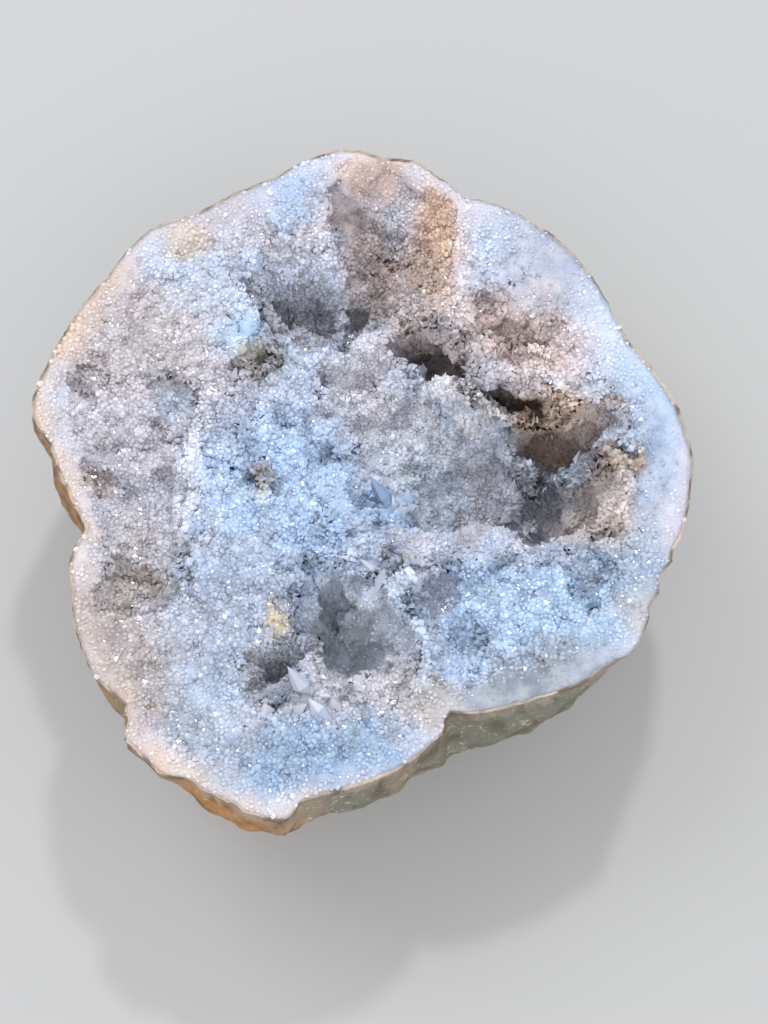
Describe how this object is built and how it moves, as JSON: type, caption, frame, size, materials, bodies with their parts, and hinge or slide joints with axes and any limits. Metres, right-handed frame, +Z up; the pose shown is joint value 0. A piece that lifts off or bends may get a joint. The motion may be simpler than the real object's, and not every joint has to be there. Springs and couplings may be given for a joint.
{
  "type": "quartz half geode",
  "caption": "Half of a quartz geode resting on its rounded back, broken face up, with a knobbly stained rind and a hollow lined with sparkling milky quartz crystals.",
  "frame": {"origin": "on the surface it rests on, under the middle of its bounding box", "axes": "+Z up, out of the broken face; +Y along the longest extent, away from the viewer; +X to the viewer's right"},
  "size_m": [0.184, 0.1988, 0.0802],
  "materials": {
    "stained_rind": "rough chalcedony rind, stained orange and tan, grey-green in places",
    "milky_quartz": "milky to clear quartz crystals, glassy, bluish white with peach and lavender stains"
  },
  "bodies": {
    "root": {"rind": "stained_rind", "crystal_crust": "milky_quartz"}
  },
  "joints": []
}
